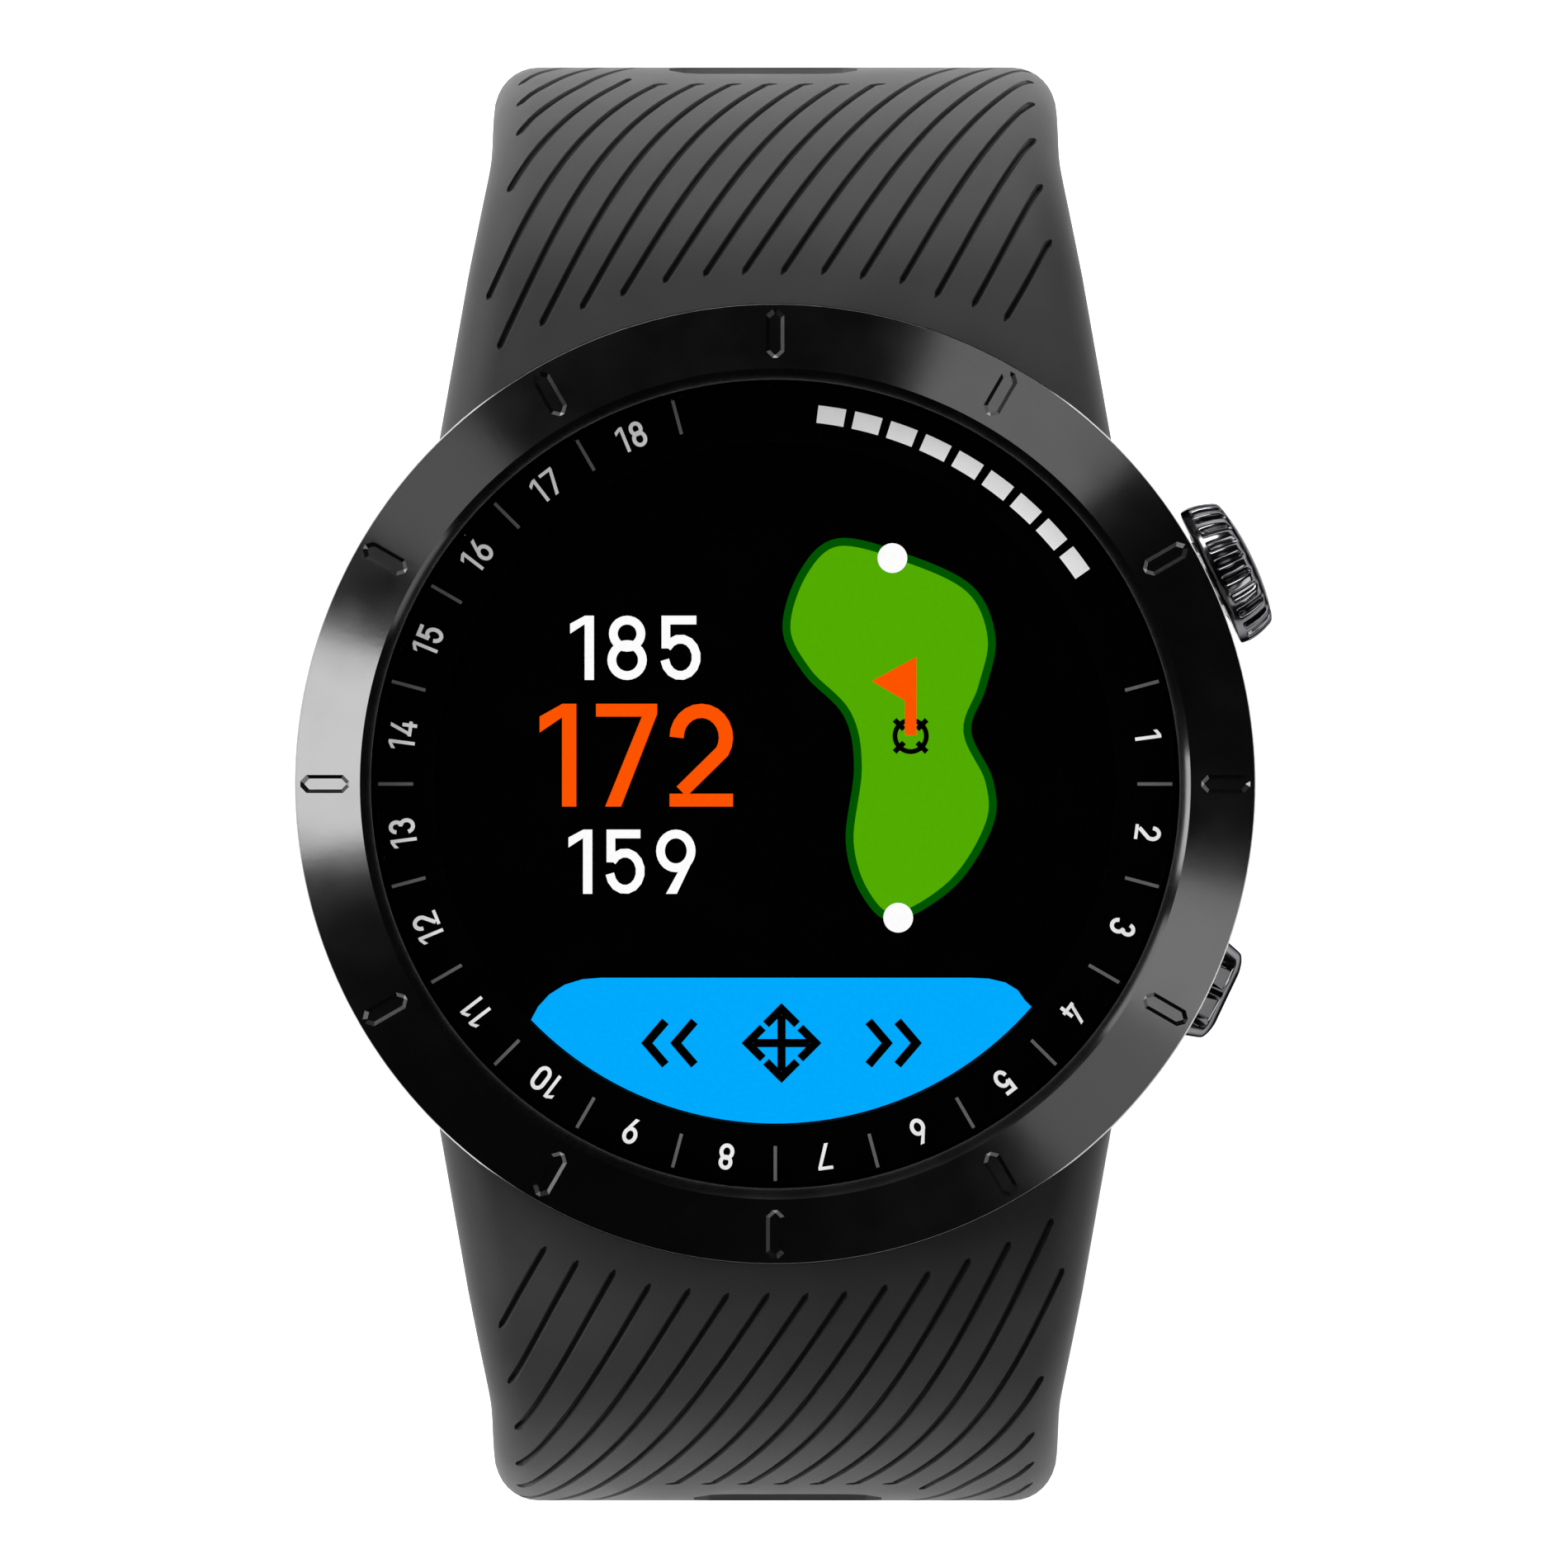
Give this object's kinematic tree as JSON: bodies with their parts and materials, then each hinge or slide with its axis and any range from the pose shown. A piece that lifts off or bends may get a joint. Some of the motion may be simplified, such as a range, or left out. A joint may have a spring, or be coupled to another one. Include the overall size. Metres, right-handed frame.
{
  "type": "golf gps watch",
  "caption": "Round golf GPS wristwatch with a marked black bezel, colour display, fluted crown, side button and grooved silicone strap with buckle.",
  "frame": {"origin": "centre of the case back's flat face, where the watch meets the wrist", "axes": "+Z out of the dial, +Y towards 12 o'clock, +X towards 3 o'clock, where the crown and button are"},
  "size_m": [0.0477, 0.0704, 0.0817],
  "materials": {
    "case_metal": "dark coated steel, satin",
    "case_back_steel": "brushed steel",
    "bezel_ceramic": "polished black ceramic",
    "crystal_glass": "clear flat crystal",
    "display_glass": "black display panel",
    "crown_metal": "dark polished steel",
    "button_metal": "glossy black coating",
    "buckle_metal": "dark coated steel, satin",
    "bare_steel": "bare steel",
    "contact_gold": "gold plated",
    "strap_silicone": "matte dark grey silicone",
    "seal_rubber": "black rubber",
    "inner_plastic": "black moulded plastic",
    "circuit_board": "green solder mask",
    "battery_foil": "foil pouch",
    "antenna_copper": "bare copper"
  },
  "bodies": {
    "watch_case": {"case_middle": "case_metal", "bezel": "bezel_ceramic", "crystal": "crystal_glass", "crystal_gasket": "seal_rubber", "dial_ring": "inner_plastic", "display_panel": "display_glass", "inner_frame": "inner_plastic", "main_board": "circuit_board", "receiver_shield": "bare_steel", "gps_antenna": "antenna_copper", "battery": "battery_foil", "vibration_motor": "bare_steel", "case_back": "case_back_steel", "case_back_gasket": "seal_rubber", "case_back_screw_1": "bare_steel", "case_back_screw_2": "bare_steel", "case_back_screw_3": "bare_steel", "case_back_screw_4": "bare_steel", "charge_contact_1": "contact_gold", "charge_contact_2": "contact_gold", "charge_contact_3": "contact_gold", "charge_contact_4": "contact_gold", "crown_tube": "bare_steel", "crown_switch": "inner_plastic", "button_switch": "inner_plastic"},
    "crown_carrier": {"crown_plunger": "inner_plastic"},
    "crown_wheel": {"crown": "crown_metal", "crown_stem": "bare_steel", "crown_o_ring": "seal_rubber", "crown_clip": "bare_steel"},
    "side_button": {"button_key": "button_metal", "button_o_ring": "seal_rubber", "button_clip": "bare_steel"},
    "upper_band": {"strap_upper": "strap_silicone", "keeper_fixed": "strap_silicone", "spring_bar_upper": "bare_steel", "spring_bar_pin_upper": "bare_steel", "buckle_bar": "bare_steel"},
    "lower_band": {"strap_lower": "strap_silicone", "spring_bar_lower": "bare_steel", "spring_bar_pin_lower": "bare_steel"},
    "upper_release": {"quick_release_pin_upper": "bare_steel"},
    "lower_release": {"quick_release_pin_lower": "bare_steel"},
    "sliding_keeper": {"keeper_free": "strap_silicone"},
    "buckle": {"buckle_frame": "buckle_metal"},
    "tongue": {"buckle_tongue": "buckle_metal"}
  },
  "joints": [
    {"name": "crown_press", "type": "slide", "parent": "watch_case", "child": "crown_carrier", "axis": [-0.9041, -0.4274, 0], "range_m": [0, 0.0006], "stiffness_N_per_m": 1500},
    {"name": "crown_turn", "type": "hinge", "parent": "crown_carrier", "child": "crown_wheel", "pos_m": [0, 0, 0.0052], "axis": [0.9041, 0.4274, 0], "continuous": true},
    {"name": "button_press", "type": "slide", "parent": "watch_case", "child": "side_button", "axis": [-0.9033, 0.4289, 0], "range_m": [0, 0.0005], "stiffness_N_per_m": 1500},
    {"name": "upper_band_swing", "type": "hinge", "parent": "watch_case", "child": "upper_band", "pos_m": [0, 0.0245, 0.0041], "axis": [1, 0, 0], "range_deg": [-4, 10]},
    {"name": "lower_band_swing", "type": "hinge", "parent": "watch_case", "child": "lower_band", "pos_m": [0, -0.0245, 0.0041], "axis": [-1, 0, 0], "range_deg": [-4, 10]},
    {"name": "upper_release_slide", "type": "slide", "parent": "upper_band", "child": "upper_release", "axis": [1, 0, 0], "range_m": [0, 0.0015], "stiffness_N_per_m": 600},
    {"name": "lower_release_slide", "type": "slide", "parent": "lower_band", "child": "lower_release", "axis": [-1, 0, 0], "range_m": [0, 0.0015], "stiffness_N_per_m": 600},
    {"name": "keeper_slide", "type": "hinge", "parent": "upper_band", "child": "sliding_keeper", "pos_m": [0, -0.0008, -0.009], "axis": [1, 0, 0], "range_deg": [-9, 10]},
    {"name": "buckle_swing", "type": "hinge", "parent": "upper_band", "child": "buckle", "pos_m": [0, 0.00708, -0.04264], "axis": [1, 0, 0], "range_deg": [-50, 50]},
    {"name": "tongue_swing", "type": "hinge", "parent": "buckle", "child": "tongue", "pos_m": [0, 0.00708, -0.04264], "axis": [1, 0, 0], "range_deg": [0, 60]}
  ]
}
